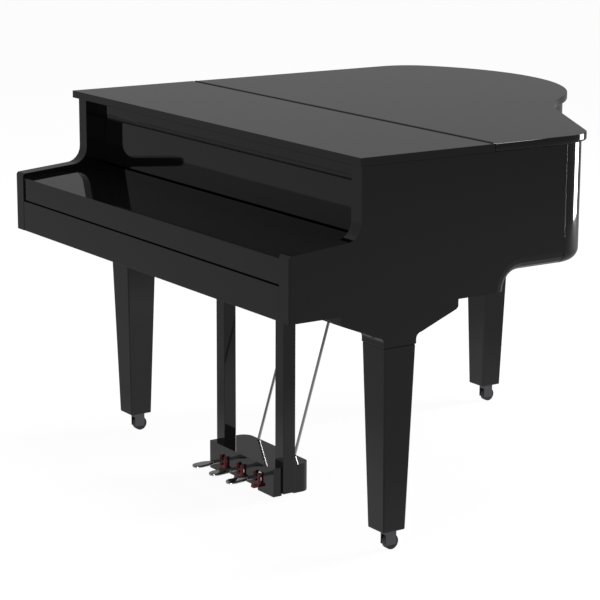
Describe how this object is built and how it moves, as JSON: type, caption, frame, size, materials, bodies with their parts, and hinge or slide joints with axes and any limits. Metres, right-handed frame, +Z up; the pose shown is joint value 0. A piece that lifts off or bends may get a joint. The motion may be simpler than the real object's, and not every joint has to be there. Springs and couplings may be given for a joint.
{
  "type": "digital grand piano",
  "caption": "Gloss black digital grand piano with a closed two-part lid, sliding key cover, keys, music desk, tapered legs on casters and a pedal lyre.",
  "frame": {"origin": "on the floor, under the middle of the bounding box", "axes": "+Z up, keyboard faces -Y, +X to the player's right, bentside on +X"},
  "size_m": [1.42, 1.5228, 1.0185],
  "materials": {
    "lacquer": "gloss black lacquer",
    "satin_wood": "satin black paint",
    "red_felt": "felt",
    "cloth": "woven",
    "chrome": "polished",
    "rubber": "matte",
    "steel": "brushed",
    "brass": "polished",
    "white_key": "satin gloss",
    "black_key": "satin",
    "plastic": "matte"
  },
  "bodies": {
    "case": {"bottom_board": "satin_wood", "cover_rail_left": "satin_wood", "cover_rail_right": "satin_wood", "deck_board": "satin_wood", "desk_block": "satin_wood", "electronics_box": "steel", "front_rail": "lacquer", "key_block_left": "lacquer", "key_block_right": "lacquer", "key_frame": "satin_wood", "key_slip": "lacquer", "keybed": "satin_wood", "leg_bracket_left": "lacquer", "leg_bracket_rear": "lacquer", "leg_bracket_right": "lacquer", "leg_front_left": "lacquer", "leg_front_right": "lacquer", "leg_rear": "lacquer", "lid_hinge_lower": "brass", "lid_prop": "lacquer", "lyre_post_left": "lacquer", "lyre_post_right": "lacquer", "lyre_rod_left": "chrome", "lyre_rod_right": "chrome", "nameboard": "lacquer", "pedal_bearing": "steel", "pedal_box": "lacquer", "pedal_felt_left": "red_felt", "pedal_felt_middle": "red_felt", "pedal_felt_right": "red_felt", "power_inlet": "plastic", "rear_rim": "lacquer", "side_board_left": "lacquer", "side_board_right": "lacquer", "speaker_cloth": "cloth", "speaker_left": "plastic", "speaker_right": "plastic"},
    "lid": {"lid_main": "lacquer", "lid_hinge_upper": "brass", "fold_hinge_rear": "steel"},
    "flap": {"lid_flap": "lacquer", "fold_hinge_front": "steel"},
    "desk": {"music_desk": "lacquer"},
    "cover": {"key_cover": "lacquer"},
    "white_keys": {"keys_white": "white_key"},
    "black_keys": {"keys_black": "black_key"},
    "pedal_l": {"pedal_left": "chrome"},
    "pedal_m": {"pedal_middle": "chrome"},
    "pedal_r": {"pedal_right": "chrome"},
    "power": {"power_button": "plastic"},
    "volume": {"volume_dial": "plastic"},
    "fork_front_left": {"caster_fork_front_left": "steel"},
    "wheel_front_left": {"caster_wheel_front_left": "rubber"},
    "fork_front_right": {"caster_fork_front_right": "steel"},
    "wheel_front_right": {"caster_wheel_front_right": "rubber"},
    "fork_rear": {"caster_fork_rear": "steel"},
    "wheel_rear": {"caster_wheel_rear": "rubber"}
  },
  "joints": [
    {"name": "lid_swing", "type": "hinge", "parent": "case", "child": "lid", "pos_m": [-0.703, 0, 0.9905], "axis": [0, -1, 0], "range_deg": [0, 30]},
    {"name": "flap_fold", "type": "hinge", "parent": "lid", "child": "flap", "pos_m": [0, -0.16442, 1.0164], "axis": [-1, 0, 0], "range_deg": [0, 175]},
    {"name": "desk_tilt", "type": "hinge", "parent": "case", "child": "desk", "pos_m": [0, -0.45742, 0.955], "axis": [1, 0, 0], "range_deg": [0, 70]},
    {"name": "cover_slide", "type": "slide", "parent": "case", "child": "cover", "axis": [0, 0.9966, 0.0824], "range_m": [0, 0.176]},
    {"name": "white_key_press", "type": "hinge", "parent": "case", "child": "white_keys", "pos_m": [0, -0.46442, 0.6957], "axis": [1, 0, 0], "range_deg": [0, 2], "stiffness_Nm_per_rad": 60, "springref_deg": -2.86},
    {"name": "black_key_press", "type": "hinge", "parent": "case", "child": "black_keys", "pos_m": [0, -0.46442, 0.6957], "axis": [1, 0, 0], "range_deg": [0, 2], "stiffness_Nm_per_rad": 60, "springref_deg": -2.86},
    {"name": "pedal_l_press", "type": "hinge", "parent": "case", "child": "pedal_l", "pos_m": [-0.086, -0.36442, 0.0475], "axis": [1, 0, 0], "range_deg": [0, 5], "stiffness_Nm_per_rad": 10, "springref_deg": -5.73},
    {"name": "pedal_m_press", "type": "hinge", "parent": "case", "child": "pedal_m", "pos_m": [0, -0.36442, 0.0475], "axis": [1, 0, 0], "range_deg": [0, 5], "stiffness_Nm_per_rad": 10, "springref_deg": -5.73},
    {"name": "pedal_r_press", "type": "hinge", "parent": "case", "child": "pedal_r", "pos_m": [0.086, -0.36442, 0.0475], "axis": [1, 0, 0], "range_deg": [0, 5], "stiffness_Nm_per_rad": 10, "springref_deg": -5.73},
    {"name": "power_press", "type": "slide", "parent": "case", "child": "power", "axis": [0, 0, -1], "range_m": [0, 0.0015], "stiffness_N_per_m": 300, "springref_m": -0.001},
    {"name": "volume_turn", "type": "hinge", "parent": "case", "child": "volume", "pos_m": [-0.63465, -0.62942, 0.7157], "axis": [0, 0, 1], "range_deg": [-140, 140]},
    {"name": "swivel_front_left", "type": "hinge", "parent": "case", "child": "fork_front_left", "pos_m": [-0.63, -0.42142, 0.05], "axis": [0, 0, 1], "continuous": true},
    {"name": "roll_front_left", "type": "hinge", "parent": "fork_front_left", "child": "wheel_front_left", "pos_m": [-0.63, -0.40942, 0.0199], "axis": [1, 0, 0], "continuous": true},
    {"name": "swivel_front_right", "type": "hinge", "parent": "case", "child": "fork_front_right", "pos_m": [0.63, -0.42142, 0.05], "axis": [0, 0, 1], "continuous": true},
    {"name": "roll_front_right", "type": "hinge", "parent": "fork_front_right", "child": "wheel_front_right", "pos_m": [0.63, -0.40942, 0.0199], "axis": [1, 0, 0], "continuous": true},
    {"name": "swivel_rear", "type": "hinge", "parent": "case", "child": "fork_rear", "pos_m": [-0.315, 0.64908, 0.05], "axis": [0, 0, 1], "continuous": true},
    {"name": "roll_rear", "type": "hinge", "parent": "fork_rear", "child": "wheel_rear", "pos_m": [-0.315, 0.66108, 0.0199], "axis": [1, 0, 0], "continuous": true}
  ],
  "couplings": [
    {"joint": "desk_tilt", "follows": "flap_fold", "ratio": 0.4}
  ]
}
